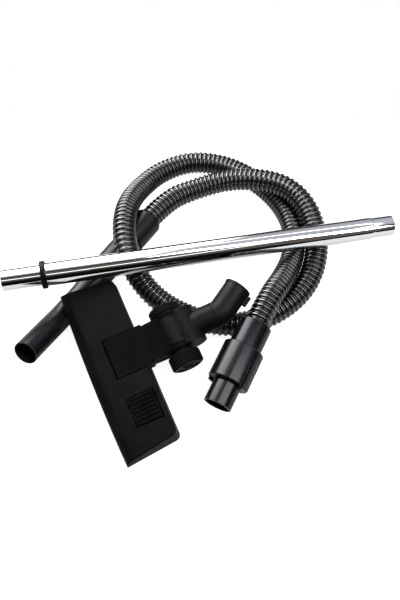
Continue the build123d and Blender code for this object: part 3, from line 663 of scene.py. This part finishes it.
# bead: the small step where the outer tube narrows to its neck
wandLook = {
    "left": (-265.1, -20.2, 86.6), "right": (281.0, 96.3, 53.6), "radius": 16.0, "wall": 0.8, "outerStart": 55.1,
    "neckRadius": 15.0, "neckLength": 33.0, "innerRadius": 14.3, "innerLength": 480.0,
    "bead": {"height": 0.4, "from": -1.2, "rise": 0.6, "fall": 2.0, "to": 2.4},
    "outerEase": 0.35, "innerEase": 0.3, "around": 128, "sharp": 60,
}


def makeWand():
    left = place(*wandLook["left"])
    right = place(*wandLook["right"])
    length = (right - left).length * 1000
    start = wandLook["outerStart"]
    outer = wandLook["radius"]
    wall = wandLook["wall"]
    bore = outer - wall
    neck = wandLook["neckRadius"]
    step = length - wandLook["neckLength"]
    bead = wandLook["bead"]
    crest = neck + bead["height"]
    outline = [(bore, start), (outer, start), (outer, step + bead["from"]), (crest, step + bead["rise"]),
               (crest, step + bead["fall"]), (neck, step + bead["to"]), (neck, length), (neck - wall, length),
               (neck - wall, step), (bore, step - wall)]
    spin("wandOuter", left, right, eased(outline, wandLook["outerEase"]), wandLook, "wand", "wandChrome",
         "wand_outer_tube")
    inner = wandLook["innerRadius"]
    end = wandLook["innerLength"]
    outline = [(inner - wall, 0), (inner, 0), (inner, end), (inner - wall, end)]
    spin("wandInner", left, right, eased(outline, wandLook["innerEase"]), wandLook, "wand_inner", "wandChrome",
         "wand_inner_tube")
    print("wand spun, length", round(length / 1000, 3))


makeWand()


# Floor head: bristles, lint pile and right tread stand in for plain solids, and a dark slab in the suction slot is
# painted shade that hides the glowing floor

headLook = {"at": (-144.2, -133.8, 20), "bearing": -65.66, "pitch": 9.05}


def headPoint(x, y, z):
    # head millimetres to metres in the part's frame
    bearing = math.radians(headLook["bearing"])
    pitch = math.radians(headLook["pitch"])
    flat = Vector((math.cos(bearing), math.sin(bearing), 0))
    across = flat * math.cos(pitch) - Vector((0, 0, math.sin(pitch)))
    rise = flat * math.sin(pitch) + Vector((0, 0, math.cos(pitch)))
    along = rise.cross(across)
    return place(*headLook["at"]) + (across * x + along * y + rise * z) / 1000


def addBlock(verts, faces, root, tip, rootSize, tipSize):
    # a four sided strand or slab from root to tip, in head millimetres
    first = len(verts)
    for (x, y, z), (wide, deep) in ((root, rootSize), (tip, tipSize)):
        for dx, dy in ((-0.5, -0.5), (0.5, -0.5), (0.5, 0.5), (-0.5, 0.5)):
            verts.append(headPoint(x + dx * wide, y + dy * deep, z))
    faces.append((first, first + 1, first + 2, first + 3))
    faces.append((first + 7, first + 6, first + 5, first + 4))
    for i in range(4):
        j = (i + 1) % 4
        faces.append((first + j, first + i, first + 4 + i, first + 4 + j))


def blockPiece(name, blocks, body, finish, replaced=None):
    verts = []
    faces = []
    for block in blocks:
        addBlock(verts, faces, *block)
    fit(addObject(name, verts, faces), body, finish, replaced)


def wave(i, j, rates):
    # uneven but the same in each run, from -1 to 1
    return math.sin(i * rates[0] + j * rates[1])


brushLook = {
    "length": 190.0, "width": 4.0, "rows": (12.0, 23.0), "root": 7.4, "tip": 0.4, "backing": 2.4, "margin": 1.0,
    "along": 100, "across": 3, "spread": 0.9, "thick": 1.1, "thin": 0.7,
    "lean": 0.3, "leanDeep": 0.5, "leanRates": (2.3, 1.7), "uneven": 0.2, "tipRates": (5.1, 3.3),
}


def makeBrushes():
    length = brushLook["length"]
    wide = brushLook["width"]
    root = brushLook["root"]
    floor = root - brushLook["backing"]
    step = (length - 2 * brushLook["margin"]) / brushLook["along"]
    thick = (brushLook["thick"],) * 2
    thin = (brushLook["thin"],) * 2
    for row, replaced in zip(brushLook["rows"], ("front_brush", "rear_brush")):
        strands = [((0, row, root), (0, row, floor), (length, wide), (length, wide))]
        for i in range(brushLook["along"]):
            for j in range(brushLook["across"]):
                x = step * (i + 0.5) - length / 2 + brushLook["margin"]
                y = row + wide * ((j + 0.5) / brushLook["across"] - 0.5) * brushLook["spread"]
                lean = brushLook["lean"] * wave(i, j, brushLook["leanRates"])
                tip = brushLook["tip"] + brushLook["uneven"] * (1 + wave(i, j, brushLook["tipRates"]))
                strands.append(((x, y, floor), (x + lean, y + lean * brushLook["leanDeep"], tip), thick, thin))
        blockPiece(replaced.split("_")[0] + "Bristles", strands, "brush_bar", "bristle", replaced)
    print("brushes:", 2 * brushLook["along"] * brushLook["across"], "strands")


lintLook = {
    "length": 38.0, "depth": 5.0, "height": 1.0, "back": 52.0, "out": 66.0, "backing": 0.45, "along": 44, "across": 6,
    "tip": 0.02, "thick": 0.6, "thin": 0.25, "lean": 0.12, "leanRates": (3.1, 2.2),
}


def makeLint():
    length = lintLook["length"]
    depth = lintLook["depth"]
    back = lintLook["back"]
    base = lintLook["height"] - lintLook["backing"]
    thick = (lintLook["thick"],) * 2
    thin = (lintLook["thin"],) * 2
    strands = []
    for middle in (-lintLook["out"], lintLook["out"]):
        y = back + depth / 2
        strands.append(((middle, y, lintLook["height"]), (middle, y, base), (length, depth), (length, depth)))
        for i in range(lintLook["along"]):
            for j in range(lintLook["across"]):
                x = middle + length * ((i + 0.5) / lintLook["along"] - 0.5)
                y = back + depth * (j + 0.5) / lintLook["across"]
                lean = lintLook["lean"] * wave(i, j, lintLook["leanRates"])
                strands.append(((x, y, base), (x + lean, y, lintLook["tip"]), thick, thin))
    blockPiece("lintPile", strands, "floor_head", "lintPile", "lint_strips")
    print("lint pile:", len(strands) - 2, "tufts")


slotShadeLook = {"spans": ((-46.4, -38.6), (20.6, 46.4)), "front": 45.5, "back": 58.5, "low": 2.8, "high": 3.6}


def makeSlotShadeSlab():
    # painted shade: closes the ends of the suction slot above the sole, beside the duct, so the glowing floor does
    # not show through
    slabs = []
    middle = (slotShadeLook["front"] + slotShadeLook["back"]) / 2
    for left, right in slotShadeLook["spans"]:
        size = (right - left, slotShadeLook["back"] - slotShadeLook["front"])
        x = (left + right) / 2
        slabs.append(((x, middle, slotShadeLook["high"]), (x, middle, slotShadeLook["low"]), size, size))
    blockPiece("slotShadeSlab", slabs, "floor_head", "soleTexture")
    print("suction slot roofed beside the duct")


# lengths run along the axle from its middle
treadLook = {
    "at": (-9.0, 122.0, 27.0), "axle": 60, "inner": 31.6, "outer": 49.3, "radius": 22.0, "crown": 1.4, "bore": 15.8,
    "hub": 18.4, "hubStart": 38.3, "hubLip": 1.0, "grooves": (36.0, 40.5, 45.0), "grooveWidth": 0.9,
    "grooveDepth": 0.6, "around": 96, "sharp": 30,
}


def makeTread():
    # the right tyre reaches inwards over its axle boss
    x, y, z = treadLook["at"]
    inner = treadLook["inner"]
    outer = treadLook["outer"]
    radius = treadLook["radius"]
    crown = treadLook["crown"]
    bore = treadLook["bore"]
    hub = treadLook["hub"]
    floor = radius - treadLook["grooveDepth"]
    half = treadLook["grooveWidth"] / 2
    outline = [(bore, inner), (radius - crown, inner), (radius, inner + crown)]
    for groove in treadLook["grooves"]:
        outline += [(radius, groove - half), (floor, groove - half / 2), (floor, groove + half / 2),
                    (radius, groove + half)]
    outline += [(radius, outer - crown), (radius - crown, outer), (hub, outer), (hub, treadLook["hubStart"]),
                (bore, treadLook["hubStart"] - treadLook["hubLip"])]
    spin("rightTread", headPoint(x, y, z), headPoint(x + treadLook["axle"], y, z), outline, treadLook,
         "wheel_right", "tyreRubber", "tyre_right")
    print("right tread spun,", len(treadLook["grooves"]), "grooves")


makeBrushes()
makeLint()
makeSlotShadeSlab()
makeTread()
